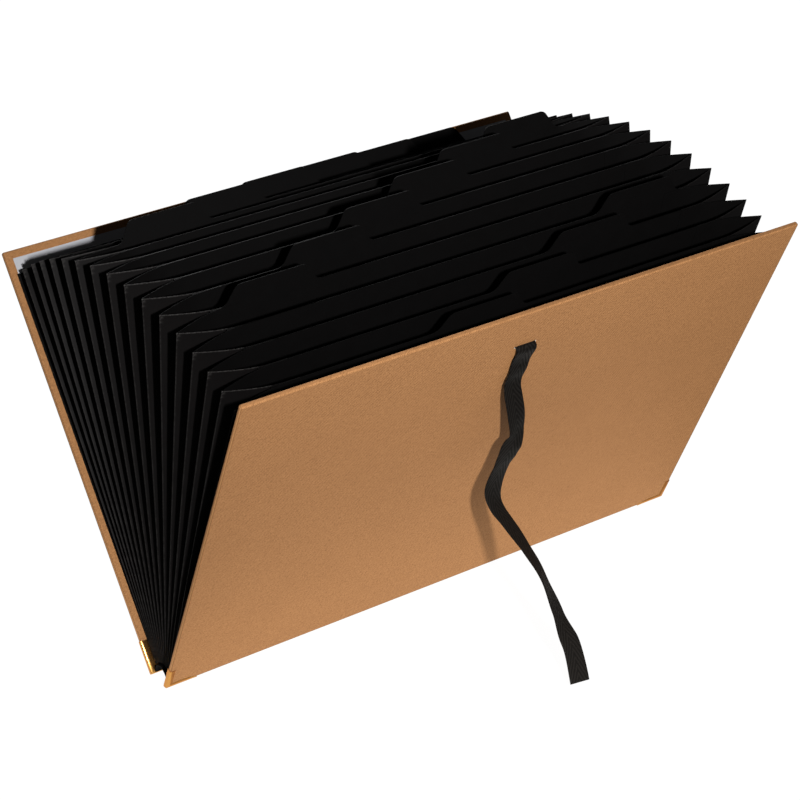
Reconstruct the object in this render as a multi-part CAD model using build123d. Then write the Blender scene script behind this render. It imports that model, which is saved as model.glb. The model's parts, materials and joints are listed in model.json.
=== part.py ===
"""Accordion file folder, standing open in a V on its bottom edges.

Two cloth-covered boards carry a fan of card dividers.  Folded side walls, one
pair to a pocket, join each divider to the next, and a black cloth strip closes
the bottom.  Four brass corners guard the bottom corners of the boards, and a
ribbon tie hangs from a slot in the front cover.

Millimetres.  X runs along the folder, Y from the front cover to the back one
and Z up.  The origin is on the surface that the folder stands on, under the
middle of the fan.  Every fold turns about one line along X.
"""

import os
from math import atan2, cos, degrees, pi, radians, sin, tan

from build123d import *

# Covers
COVER_WIDTH = 330.0
COVER_HEIGHT = 236.2
BOARD_THICKNESS = 2.0
CLOTH_THICKNESS = 0.3
TURN_IN_WIDTH = 4.5
COVER_CORNER_RADIUS = 2.0

# Opening of the folder as it stands
COVER_TILT = 30.46
BOTTOM_GAP = 13.4

# Brass corners
BRASS_THICKNESS = 0.5
BRASS_CRUSHED_CLOTH = 0.05
BRASS_ARM = 18.0
BRASS_LIP = 3.5

# Fan of dividers
POCKETS = 16
REAR_POCKET_ANGLE = 4.3
POCKET_SWELL = 0.72
POCKET_SKEW = 1.19
CARD_THICKNESS = 0.35
GLUE_FILM = 0.1
SHEET_TOP_MARGIN = 13.1
SHEET_BOTTOM_MARGIN = 4.2
VALLEY_INSET = 26.1

# Side walls of the pockets
FOLD_INSET = 3.7
WALL_THICKNESS = 0.3
FOLD_FLAT = 0.4
WALL_CLEARANCE = 0.05
WEDGE_CLEARANCE = 0.02

# Tabs, staggered in six places
TAB_PLACES = 6
FRONT_TAB_PLACE = 2
TAB_END_MARGIN = 8.15
TAB_BASE_WIDTH = 51.5
TAB_TOP_WIDTH = 39.3
TAB_HEIGHT = 10.8
TAB_TOP_RADIUS = 4.5
TAB_FOOT_RADIUS = 5.0

# Cloth strip along the bottom
SPINE_THICKNESS = 0.8
SPINE_FLANGE_START = 0.6
SPINE_FLANGE_WIDTH = 3.3
SPINE_SPRING_GAP = 0.1
SPINE_END_INSET = 2.0

# Ribbon tie
RIBBON_WIDTH = 12.0
RIBBON_THICKNESS = 0.4
RIBBON_TAIL = 30.0
SLOT_DROP = 25.9
SLOT_SIDE_CLEARANCE = 0.15
SLOT_HEIGHT = 1.6
RIBBON_EXIT_RUN = 3.0

# Hanging line of the ribbon after its fold over the slot: (back, up) from the slot
RIBBON_LINE = [
    (-0.05, -5.85),
    (5.3, -16.6),
    (9.0, -33.7),
    (10.5, -55.7),
    (18.0, -72.2),
    (21.5, -87.1),
    (17.0, -98.0),
    (4.0, -112.2),
    (-5.5, -128.0),
    (-12.5, -139.2),
    (-20.5, -151.5),
    (-27.5, -164.5),
    (-31.5, -177.5),
]
RIBBON_BEND_SHARE = 0.45

# Worked out from the values above
TILT = radians(COVER_TILT)
COVER_THICKNESS = BOARD_THICKNESS + 2 * CLOTH_THICKNESS
# The brass is crimped into the cloth and stands a little proud of it
BRASS_BED = CLOTH_THICKNESS - BRASS_CRUSHED_CLOTH
BRASS_PROUD = BRASS_THICKNESS - BRASS_BED
# The lowest line is the outer bottom edge of the brass
AXIS_HEIGHT = (COVER_THICKNESS + BRASS_PROUD) * sin(TILT) + BRASS_PROUD * cos(TILT)
# Cover's inner face and bottom edge, measured from the turning axis
FACE_OFFSET = BOTTOM_GAP / 2 * cos(TILT)
EDGE_OFFSET = BOTTOM_GAP / 2 * sin(TILT)
SHEET_TOP = COVER_HEIGHT - SHEET_TOP_MARGIN + EDGE_OFFSET
SHEET_BOTTOM = SHEET_BOTTOM_MARGIN + EDGE_OFFSET
SHEET_HALF_WIDTH = COVER_WIDTH / 2 - VALLEY_INSET
FOLD_X = COVER_WIDTH / 2 - FOLD_INSET
TAB_PITCH = (2 * (SHEET_HALF_WIDTH - TAB_END_MARGIN) - TAB_BASE_WIDTH) / (TAB_PLACES - 1)
# Closed stack of pockets between the two end panels
STACK_HALF = FACE_OFFSET - GLUE_FILM - CARD_THICKNESS
STACK_PITCH = 2 * STACK_HALF / POCKETS
SLOT_UP = COVER_HEIGHT - SLOT_DROP
# Closer than this, two places are the same
TOUCH = 0.01


def sheet_tilts():
    """Lean of each sheet towards the back, in radians, from the front panel to the back panel."""
    free = POCKETS - 1
    middles = [(i + 0.5) / free for i in range(free)]
    shares = [1 + POCKET_SWELL * sin(pi * middle**POCKET_SKEW) for middle in middles]
    scale = (2 * TILT - radians(REAR_POCKET_ANGLE)) / sum(shares)
    tilts = [-TILT]
    for share in shares:
        tilts.append(tilts[-1] + share * scale)
    tilts.append(TILT)
    return tilts


TILTS = sheet_tilts()


def stack_offset(k):
    """Distance of sheet k from the axis, square to the sheet: 0 is the front panel."""
    return -STACK_HALF + k * STACK_PITCH


def fan_plane(tilt, offset):
    """Plane of a sheet: x along the folder, y up the sheet from the axis, z towards the front."""
    up = Vector(0, sin(tilt), cos(tilt))
    back = Vector(0, cos(tilt), -sin(tilt))
    origin = Vector(0, 0, AXIS_HEIGHT) + back * offset
    return Plane(origin=origin, x_dir=(1, 0, 0), z_dir=-back)


def cover_plane(side):
    """Plane of a cover's inner face: y up from its bottom edge, z outwards. side is -1 front, +1 back."""
    outward = Vector(0, side * cos(TILT), -sin(TILT))
    origin = Vector(0, side * BOTTOM_GAP / 2, AXIS_HEIGHT)
    return Plane(origin=origin, x_dir=(-side, 0, 0), z_dir=outward)


def slab(width, low, high, inner, outer):
    """Box centred on x, from low to high up the cover and from inner to outer across it."""
    centre = Pos(0, (low + high) / 2, (inner + outer) / 2)
    return centre * Box(width, high - low, outer - inner)


def rounded_slab(inset, inner, outer):
    """Cover outline, drawn in by inset, with its corners rounded."""
    outline = slab(COVER_WIDTH - 2 * inset, inset, COVER_HEIGHT - inset, inner, outer)
    return fillet(outline.edges().filter_by(Axis.Z), COVER_CORNER_RADIUS - inset)


def ribbon_slot():
    """Slot through the board and the outer cloth."""
    width = RIBBON_WIDTH + 2 * SLOT_SIDE_CLEARANCE
    low = SLOT_UP - SLOT_HEIGHT / 2
    return slab(width, low, low + SLOT_HEIGHT, CLOTH_THICKNESS, COVER_THICKNESS)


def tail_recess():
    """Shallow bed for the ribbon's glued tail in the board's inner face."""
    width = RIBBON_WIDTH + 2 * SLOT_SIDE_CLEARANCE
    outer = CLOTH_THICKNESS + RIBBON_THICKNESS
    return slab(width, SLOT_UP - RIBBON_TAIL, SLOT_UP, CLOTH_THICKNESS, outer)


def endpaper():
    """Paper lining inside the turned-in cloth."""
    width = COVER_WIDTH - 2 * TURN_IN_WIDTH
    return slab(width, TURN_IN_WIDTH, COVER_HEIGHT - TURN_IN_WIDTH, 0, CLOTH_THICKNESS)


def board(has_ribbon):
    """Stiff board of a cover."""
    body = rounded_slab(CLOTH_THICKNESS, CLOTH_THICKNESS, COVER_THICKNESS - CLOTH_THICKNESS)
    body -= ribbon_slot()
    if has_ribbon:
        body -= tail_recess()
    return body


def wrap():
    """Cloth over the outer face and edges of a board, turned in over its inner border."""
    core = rounded_slab(CLOTH_THICKNESS, CLOTH_THICKNESS, COVER_THICKNESS - CLOTH_THICKNESS)
    return rounded_slab(0, 0, COVER_THICKNESS) - core - endpaper() - ribbon_slot()


def brass_corner(side):
    """Folded brass channel round one bottom corner. side is -1 or +1 along the cover's x."""
    reach = BRASS_ARM + BRASS_PROUD
    depth = COVER_THICKNESS + 2 * BRASS_PROUD
    edge = COVER_WIDTH / 2 + BRASS_PROUD
    middle = COVER_THICKNESS / 2
    block = Pos(side * (edge - reach / 2), reach / 2 - BRASS_PROUD, middle) * Box(reach, reach, depth)
    bottom_edges = block.edges().filter_by(Axis.Z).sort_by(Axis.Y)[:2]
    corner_edge = bottom_edges.sort_by(Axis.X)[-1 if side > 0 else 0]
    block = fillet(corner_edge, COVER_CORNER_RADIUS + BRASS_PROUD)
    window = Pos(side * (COVER_WIDTH / 2 - BRASS_LIP - reach / 2), BRASS_LIP + reach / 2, middle)
    block -= window * Box(reach, reach, depth)
    return block - rounded_slab(BRASS_BED, BRASS_BED, COVER_THICKNESS - BRASS_BED)


def tab_middle(k):
    """X of the tab on sheet k, which steps through the places from the front sheet to the back one."""
    place = (FRONT_TAB_PLACE + k - 1) % TAB_PLACES
    return (place - (TAB_PLACES - 1) / 2) * TAB_PITCH


def plain_outline(half_width):
    """Card sheet without a tab."""
    height = SHEET_TOP - SHEET_BOTTOM
    return Pos(0, SHEET_BOTTOM + height / 2) * Rectangle(2 * half_width, height)


def tabbed_outline(half_width, middle):
    """Card sheet whose top edge steps up into a sloped tab, with rounded shoulders and feet."""
    base = TAB_BASE_WIDTH / 2
    top = TAB_TOP_WIDTH / 2
    high = SHEET_TOP + TAB_HEIGHT
    tab = [
        (middle + base, SHEET_TOP),
        (middle + top, high),
        (middle - top, high),
        (middle - base, SHEET_TOP),
    ]
    sheet_right = [(half_width, SHEET_BOTTOM), (half_width, SHEET_TOP)]
    sheet_left = [(-half_width, SHEET_TOP), (-half_width, SHEET_BOTTOM)]
    outline = make_face(Polyline(*sheet_right, *tab, *sheet_left, close=True))
    shoulders = outline.vertices().sort_by(Axis.Y)[-2:]
    outline = fillet(shoulders, TAB_TOP_RADIUS)
    feet = outline.vertices().filter_by(lambda corner: abs(abs(corner.X - middle) - base) < TOUCH)
    return fillet(feet, TAB_FOOT_RADIUS)


def divider(k):
    """Free card sheet k of the fan, standing between the valleys of the side walls."""
    outline = tabbed_outline(SHEET_HALF_WIDTH, tab_middle(k))
    flat = extrude(outline, CARD_THICKNESS / 2, both=True)
    return flat.moved(fan_plane(TILTS[k], stack_offset(k)).location)


def end_panel(side, outline):
    """End sheet glued to a cover, as wide as the folds of the side walls. side is -1 front, +1 back."""
    flat = extrude(outline, CARD_THICKNESS / 2, both=True)
    offset = side * (STACK_HALF + CARD_THICKNESS / 2)
    return flat.moved(fan_plane(side * TILT, offset).location)


def wall_section(half_angle, height):
    """Folded wall cut square to its fold line at a height up from the axis, open towards the middle."""
    half_gap = height * tan(half_angle) + STACK_PITCH / 2 / cos(half_angle) - WEDGE_CLEARANCE
    inner_x = SHEET_HALF_WIDTH + WALL_CLEARANCE
    depth = FOLD_X - inner_x
    lean = atan2(half_gap - FOLD_FLAT / 2, depth)
    wall = WALL_THICKNESS / cos(lean)
    apex = inner_x + (half_gap - wall) / tan(lean)
    outline = Polyline(
        (inner_x, -half_gap),
        (FOLD_X, -FOLD_FLAT / 2),
        (FOLD_X, FOLD_FLAT / 2),
        (inner_x, half_gap),
        (inner_x, half_gap - wall),
        (apex, 0),
        (inner_x, wall - half_gap),
        close=True,
    )
    return make_face(outline)


def gusset(k):
    """Pair of folded side walls of pocket k, between sheet k - 1 and sheet k."""
    half_angle = (TILTS[k] - TILTS[k - 1]) / 2
    tilt = (TILTS[k] + TILTS[k - 1]) / 2
    offset = (stack_offset(k) + stack_offset(k - 1)) / 2
    up = Vector(0, sin(tilt), cos(tilt))
    back = Vector(0, cos(tilt), -sin(tilt))
    sections = []
    for height in (SHEET_BOTTOM, SHEET_TOP * cos(half_angle)):
        origin = Vector(0, 0, AXIS_HEIGHT) + back * offset + up * height
        sections.append(Plane(origin=origin, x_dir=(1, 0, 0), z_dir=up) * wall_section(half_angle, height))
    right = loft(sections, ruled=True)
    return Compound(children=[right, mirror(right, about=Plane.YZ)])


def spine_cloth(corners):
    """Arched cloth strip between the covers' bottom edges, with a glued flange up each inner face."""
    radius = BOTTOM_GAP / 2 - SPINE_SPRING_GAP
    spring = AXIS_HEIGHT + SPINE_FLANGE_START
    ring = Circle(radius) - Circle(radius - SPINE_THICKNESS)
    upper_half = Pos(0, radius) * Rectangle(4 * radius, 2 * radius)
    section = Pos(0, spring) * (ring & upper_half)
    for side in (-1, 1):
        face = Vector(side * BOTTOM_GAP / 2, AXIS_HEIGHT)
        up = Vector(side * sin(TILT), cos(TILT))
        inward = Vector(-side * cos(TILT), sin(TILT))
        low = face + up * SPINE_FLANGE_START
        high = low + up * SPINE_FLANGE_WIDTH
        thick = inward * SPINE_THICKNESS
        section += make_face(Polyline(low, high, high + thick, low + thick, close=True))
    length = COVER_WIDTH / 2 - SPINE_END_INSET
    strip = extrude(Plane.YZ * section, length, both=True)
    for corner in corners:
        strip -= corner
    return strip


def ribbon_anchor():
    """Ribbon's glued tail behind the board and its way out through the slot."""
    inner = CLOTH_THICKNESS
    half = RIBBON_THICKNESS / 2
    tail = slab(RIBBON_WIDTH, SLOT_UP - RIBBON_TAIL, SLOT_UP + half, inner, inner + RIBBON_THICKNESS)
    neck = slab(RIBBON_WIDTH, SLOT_UP - half, SLOT_UP + half, inner, COVER_THICKNESS)
    return tail + neck


def ribbon_points():
    """Middle line of the hanging ribbon, from the slot to its cut end."""
    plane = cover_plane(-1)
    start = plane.from_local_coords(Vector(0, SLOT_UP, COVER_THICKNESS))
    points = [start, start + plane.z_dir * RIBBON_EXIT_RUN]
    points += [start + Vector(0, back, up) for back, up in RIBBON_LINE]
    return points


def ribbon_radii(points):
    """Bend radius at each inner point, as large as the shorter run beside it allows."""
    radii = []
    for before, here, after in zip(points, points[1:], points[2:]):
        turn = radians((here - before).get_angle(after - here))
        shorter = min((here - before).length, (after - here).length)
        radii.append(RIBBON_BEND_SHARE * shorter / tan(turn / 2))
    return radii


def tie_ribbon():
    """Flat ribbon that hangs free in front of the cover."""
    points = ribbon_points()
    radii = ribbon_radii(points)
    path = FilletPolyline(*points, radius=radii)
    start = Plane(origin=path @ 0, x_dir=(1, 0, 0), z_dir=path % 0)
    section = start * Rectangle(RIBBON_WIDTH, RIBBON_THICKNESS)
    strip = sweep(section, path=path)
    print("ribbon bend radii", [round(radius, 1) for radius in radii])
    print("ribbon length", round(path.length, 1))
    print("ribbon volume over section times length", strip.volume / (section.area * path.length))
    return strip


def cover(name, side, has_ribbon):
    """Nodes of one cover, in the folder's frame."""
    place = cover_plane(side).location
    # The cover's own x runs the other way on the back cover
    left_corner = brass_corner(side)
    right_corner = brass_corner(-side)
    pieces = {
        f"{name}_board": board(has_ribbon),
        f"{name}_wrap": wrap() - left_corner - right_corner,
        f"{name}_endpaper": endpaper(),
        f"{name}_left_corner": left_corner,
        f"{name}_right_corner": right_corner,
    }
    return {node: piece.moved(place) for node, piece in pieces.items()}


def folder():
    """All nodes of the folder by name."""
    nodes = cover("front", -1, True) | cover("back", 1, False)
    corners = [piece for node, piece in nodes.items() if node.endswith("_corner")]
    nodes["spine_cloth"] = spine_cloth(corners)
    nodes["front_panel"] = end_panel(-1, plain_outline(FOLD_X))
    for k in range(1, POCKETS):
        nodes[f"divider_{k:02d}"] = divider(k)
    back_outline = tabbed_outline(FOLD_X, tab_middle(POCKETS))
    nodes[f"divider_{POCKETS:02d}"] = end_panel(1, back_outline)
    for k in range(1, POCKETS + 1):
        nodes[f"gusset_{k:02d}"] = gusset(k)
    nodes["ribbon_anchor"] = ribbon_anchor().moved(cover_plane(-1).location)
    nodes["tie_ribbon"] = tie_ribbon()
    return nodes


def main():
    os.makedirs("parts", exist_ok=True)
    for node, piece in folder().items():
        export_step(piece, f"parts/{node}.step")
    print("axis height", round(AXIS_HEIGHT, 4))
    print("sheet tilts", [round(degrees(tilt), 2) for tilt in TILTS])


main()
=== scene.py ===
"""Looks of the accordion file folder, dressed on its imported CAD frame, laid out as a Blender add-on."""
import json
from math import cos, pi, radians, sin, tan

import bmesh
import bpy
from bpy.props import FloatProperty, FloatVectorProperty, PointerProperty
from mathutils import Matrix, Vector


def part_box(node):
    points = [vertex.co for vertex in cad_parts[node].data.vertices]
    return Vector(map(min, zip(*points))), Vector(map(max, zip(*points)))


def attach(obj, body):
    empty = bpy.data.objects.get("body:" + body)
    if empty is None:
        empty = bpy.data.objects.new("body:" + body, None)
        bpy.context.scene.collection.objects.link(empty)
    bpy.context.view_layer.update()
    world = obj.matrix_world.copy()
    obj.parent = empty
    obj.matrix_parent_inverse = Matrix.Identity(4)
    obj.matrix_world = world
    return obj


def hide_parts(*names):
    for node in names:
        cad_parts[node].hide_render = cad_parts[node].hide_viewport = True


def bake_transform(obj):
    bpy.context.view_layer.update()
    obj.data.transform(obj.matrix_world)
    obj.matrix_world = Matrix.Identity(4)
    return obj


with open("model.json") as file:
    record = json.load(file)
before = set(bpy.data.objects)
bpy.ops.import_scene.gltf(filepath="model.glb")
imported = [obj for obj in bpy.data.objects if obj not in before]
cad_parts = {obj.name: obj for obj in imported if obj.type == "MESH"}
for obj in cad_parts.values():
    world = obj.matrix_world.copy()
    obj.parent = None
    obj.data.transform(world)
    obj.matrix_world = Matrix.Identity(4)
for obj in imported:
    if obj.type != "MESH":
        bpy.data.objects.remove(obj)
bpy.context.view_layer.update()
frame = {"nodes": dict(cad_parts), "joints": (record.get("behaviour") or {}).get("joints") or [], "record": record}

bl_info = {
    "name": "Accordion file folder",
    "version": (1, 0, 0),
    "blender": (4, 5, 0),
    "location": "3D View > Sidebar > Folder",
    "description": "Dresses the packed CAD model of an expanding document folder",
    "category": "Object",
}

MM = 0.001
WELD = 0.002 * MM

# The fan, read from the frame: one turning line, and each sheet's lean from the couplings
HINGE = next(joint for joint in frame["joints"] if joint["name"] == "front_cover_hinge")
AXIS = Vector(HINGE["pos_m"])
TILT = -radians(HINGE["range_deg"][0]) / 2
SHARES = {row["joint"]: row["ratio"] for row in frame["record"]["behaviour"]["couplings"]}
POCKETS = len(SHARES)


def lean(tilt):
    """Directions of a sheet that leans back by tilt: up it, and square to it towards the back."""
    return Vector((0, sin(tilt), cos(tilt))), Vector((0, cos(tilt), -sin(tilt)))


def sheet_tilts():
    """Lean of each sheet, from the front panel at 0 to the back panel."""
    tilts = [TILT]
    for k in range(POCKETS, 0, -1):
        tilts.append(tilts[-1] - SHARES[f"pocket_{k:02d}_fold"] * 2 * TILT)
    return tilts[::-1]


def spread(node, direction):
    """Least and greatest distance of a node's points from the turning line along a direction."""
    along = [(vertex.co - AXIS).dot(direction) for vertex in frame["nodes"][node].data.vertices]
    return min(along), max(along)


TILTS = sheet_tilts()
SHEET_LOW, SHEET_HIGH = spread("front_panel", lean(TILTS[0])[0])
SHEET_HALF_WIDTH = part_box("divider_08")[1][0]
FOLD_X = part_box("gusset_08")[1][0]


def sheet_node(k):
    """CAD node of sheet k."""
    return f"divider_{k:02d}" if k else "front_panel"


def sheet_body(k):
    """CAD body that sheet k belongs to."""
    if k == 0:
        return "front_sheet"
    return "back_cover" if k == POCKETS else f"sheet_{k:02d}"


class Cover:
    """Frame of one cover: x along the folder, up from its bottom edge, out from its inner face."""

    def __init__(self, name, side):
        self.name = name
        self.body = f"{name}_cover"
        self.up, back = lean(side * TILT)
        self.out = side * back
        low, high = spread(f"{name}_wrap", self.up)
        inner, outer = spread(f"{name}_wrap", self.out)
        self.half_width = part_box(f"{name}_wrap")[1][0]
        self.height = high - low
        self.thickness = outer - inner
        self.origin = AXIS + self.up * low + self.out * inner

    def place(self, x, up, out):
        """Point in the row frame."""
        return self.origin + Vector((x, 0, 0)) + self.up * up + self.out * out


COVERS = [Cover("front", -1), Cover("back", 1)]
FRONT = COVERS[0]


# Camera, as fitted to the photo
CAMERA_PLACE = (-0.608548, -0.993295, 0.650431)
CAMERA_TURN = (65.108852, 4.090391, -33.245035)
CAMERA_LENS = 107.4546
CAMERA_SENSOR = 36.0

# Part of the table top that throws light: half widths in metres where it starts to fade and ends
GLOW_SHIFT = 0.02
GLOW_ALONG = (0.17, 0.24)
GLOW_BACK = (0.12, 0.20)

# Ribbon's route: distances in mm from the slot's mouth, as (along, back, up)
RIBBON_EXIT_RUN = 3.0
RIBBON_SLOT_DROP = 25.9
RIBBON_ROUTE = [
    (0.5, 5.5, -10.0),
    (0.0, 7.5, -17.0),
    (-1.0, 11.0, -22.5),
    (-1.0, 12.0, -28.5),
    (0.5, 13.0, -34.0),
    (3.0, 15.0, -46.5),
    (4.5, 18.0, -56.0),
    (2.0, 19.5, -62.5),
    (1.0, 24.0, -71.0),
    (-1.0, 29.5, -81.0),
    (-3.0, 33.0, -92.0),
    (-2.5, 31.0, -101.0),
    (0.0, 24.0, -108.0),
    (2.0, 7.5, -121.5),
    (1.5, -3.0, -129.0),
    (1.5, -12.0, -141.5),
    (1.0, -20.0, -153.0),
    (3.0, -24.5, -162.5),
    (1.0, -31.0, -178.0),
]
# Turn of the ribbon about its own line, in degrees, at shares of its length
RIBBON_TWIST = [
    (0.0, 0),
    (0.04, 0),
    (0.1, -6),
    (0.16, -11),
    (0.22, -10),
    (0.28, -18),
    (0.33, 10),
    (0.36, 4),
    (0.4, -6),
    (0.46, -5),
    (0.52, -23),
    (0.58, -26),
    (0.66, -35),
    (0.74, -44),
    (0.82, -33),
    (0.9, -9),
    (1.0, -2),
]


class CoverClothSettings(bpy.types.PropertyGroup):
    """Bookcloth of the covers."""

    colour: FloatVectorProperty(
        name="Cloth colour",
        description="Main colour of the bookcloth",
        subtype="COLOR",
        size=3,
        min=0,
        max=1,
        default=(0.308, 0.1375, 0.0510),
    )
    worn_colour: FloatVectorProperty(
        name="High thread colour",
        description="Colour of the threads that stand up and catch wear",
        subtype="COLOR",
        size=3,
        min=0,
        max=1,
        default=(0.418, 0.2025, 0.0815),
    )
    # Painted light: paler colour laid on the boards' side faces so they look as lit as the outer faces
    side_light_colour: FloatVectorProperty(
        name="Rubbed edge colour",
        description="Colour of the cloth where it is rubbed on the boards' side edges",
        subtype="COLOR",
        size=3,
        min=0,
        max=1,
        default=(0.70, 0.345, 0.145),
    )
    weave: FloatProperty(
        name="Weave pitch",
        description="Distance between the diagonal ribs of the weave",
        subtype="DISTANCE",
        unit="LENGTH",
        min=0.0001,
        default=0.0010,
    )
    turn_in: FloatProperty(
        name="Turn-in",
        description="Width of the cloth turned in over the inner border",
        subtype="DISTANCE",
        unit="LENGTH",
        default=0.0045,
    )
    edge_round: FloatProperty(
        name="Edge rounding",
        description="Radius of the cloth round the board's edges",
        subtype="DISTANCE",
        unit="LENGTH",
        default=0.0008,
    )


class CardSettings(bpy.types.PropertyGroup):
    """Black card of the sheets and side walls."""

    colour: FloatVectorProperty(
        name="Card colour",
        description="Colour of the sheets",
        subtype="COLOR",
        size=3,
        min=0,
        max=1,
        default=(0.0027, 0.0025, 0.0025),
    )
    # Painted light: paler colour laid on the sheets' rear faces so the card looks lit from behind
    rear_lit_colour: FloatVectorProperty(
        name="Rear colour",
        description="Colour of the sheets' rear faces",
        subtype="COLOR",
        size=3,
        min=0,
        max=1,
        default=(0.0120, 0.0113, 0.0113),
    )
    # Painted light: the walls' card is a paler copy of the sheets' card, standing in for the light the walls catch
    wall_lit_colour: FloatVectorProperty(
        name="Side wall colour",
        description="Colour of the folded side walls",
        subtype="COLOR",
        size=3,
        min=0,
        max=1,
        default=(0.0047, 0.0041, 0.0041),
    )
    # Pale colour for the painted highlight lines along the walls' folds and top edges, and for the worn chips at
    # the fold tips
    highlight_and_wear_colour: FloatVectorProperty(
        name="Cut edge colour",
        description="Colour of cut edges and rubbed folds",
        subtype="COLOR",
        size=3,
        min=0,
        max=1,
        default=(0.070, 0.066, 0.063),
    )
    wall_thickness: FloatProperty(
        name="Wall thickness",
        description="Thickness of the folded side walls",
        subtype="DISTANCE",
        unit="LENGTH",
        default=0.00015,
    )
    glue_flap: FloatProperty(
        name="Glue flap",
        description="Width of a side wall's flap on its sheet",
        subtype="DISTANCE",
        unit="LENGTH",
        default=0.008,
    )
    last_tab_rise: FloatProperty(
        name="Last tab rise",
        description="How much higher the back panel's tab stands than the other tabs",
        subtype="DISTANCE",
        unit="LENGTH",
        default=0.0022,
    )


class BrassSettings(bpy.types.PropertyGroup):
    """Folded brass corners."""

    colour: FloatVectorProperty(
        name="Brass colour",
        description="Colour of the brass",
        subtype="COLOR",
        size=3,
        min=0,
        max=1,
        default=(0.60, 0.31, 0.085),
    )
    # Painted reflection: dark brown laid on the brass lips
    lip_reflection_colour: FloatVectorProperty(
        name="Browned colour",
        description="Colour of the brass where it has gone brown on the lips",
        subtype="COLOR",
        size=3,
        min=0,
        max=1,
        default=(0.25, 0.102, 0.026),
    )
    arm: FloatProperty(
        name="Arm",
        description="Length of the bottom arm from the corner",
        subtype="DISTANCE",
        unit="LENGTH",
        default=0.018,
    )
    lip: FloatProperty(
        name="Lip",
        description="Width of the lip over the cover's outer face",
        subtype="DISTANCE",
        unit="LENGTH",
        default=0.0031,
    )
    inner_lip: FloatProperty(
        name="Inner lip",
        description="Width of the lip over the cover's inner face",
        subtype="DISTANCE",
        unit="LENGTH",
        default=0.0044,
    )
    end_taper: FloatProperty(
        name="End taper",
        description="Length over which the bottom arm's lip narrows to its pointed end",
        subtype="DISTANCE",
        unit="LENGTH",
        default=0.010,
    )


class RibbonSettings(bpy.types.PropertyGroup):
    """Ribbon tie."""

    colour: FloatVectorProperty(
        name="Ribbon colour",
        description="Colour of the ribbon",
        subtype="COLOR",
        size=3,
        min=0,
        max=1,
        default=(0.0098, 0.0084, 0.0073),
    )
    width: FloatProperty(
        name="Width",
        description="Width of the ribbon",
        subtype="DISTANCE",
        unit="LENGTH",
        default=0.012,
    )
    thickness: FloatProperty(
        name="Thickness",
        description="Thickness of the ribbon",
        subtype="DISTANCE",
        unit="LENGTH",
        default=0.0006,
    )
    twill: FloatProperty(
        name="Twill pitch",
        description="Distance between the ribs of the herringbone, along the ribbon",
        subtype="DISTANCE",
        unit="LENGTH",
        default=0.0042,
    )


class StageSettings(bpy.types.PropertyGroup):
    """Floor and lights."""

    floor_colour: FloatVectorProperty(
        name="Floor colour",
        description="Colour that the pale floor adds to its own glow",
        subtype="COLOR",
        size=3,
        min=0,
        max=1,
        default=(0.06, 0.06, 0.06),
    )
    floor_bounce: FloatProperty(
        name="Floor bounce",
        description="Light that the table top throws up close to the folder",
        min=0,
        default=1.15,
    )
    key_power: FloatProperty(
        name="Key power",
        description="Power of the key light",
        unit="POWER",
        min=0,
        default=22.5,
    )
    key_turn: FloatProperty(
        name="Key turn",
        description="Direction of the key light round the folder, 0 from the front",
        subtype="ANGLE",
        unit="ROTATION",
        default=radians(-20),
    )
    key_rise: FloatProperty(
        name="Key rise",
        description="Height of the key light above the level",
        subtype="ANGLE",
        unit="ROTATION",
        default=radians(23),
    )
    fill_power: FloatProperty(
        name="Fill power",
        description="Power of the wide soft light behind the folder",
        unit="POWER",
        min=0,
        default=40.0,
    )
    room_light: FloatProperty(
        name="Room light",
        description="Even light from the dim room",
        min=0,
        default=0.025,
    )


class Wire:
    """A shader socket whose number can be used in Python expressions."""

    def __init__(self, finish, socket):
        self.finish = finish
        self.socket = socket

    def math(self, operation, *others):
        """Math node with this socket first."""
        return self.finish.math(operation, self, *others)

    def __add__(self, other):
        return self.math("ADD", other)

    __radd__ = __add__

    def __mul__(self, other):
        return self.math("MULTIPLY", other)

    __rmul__ = __mul__

    def __sub__(self, other):
        return self.math("SUBTRACT", other)

    def __rsub__(self, other):
        return self.finish.math("SUBTRACT", other, self)

    def __truediv__(self, other):
        return self.math("DIVIDE", other)

    def __rtruediv__(self, other):
        return self.finish.math("DIVIDE", other, self)

    def __abs__(self):
        return self.math("ABSOLUTE")


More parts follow.
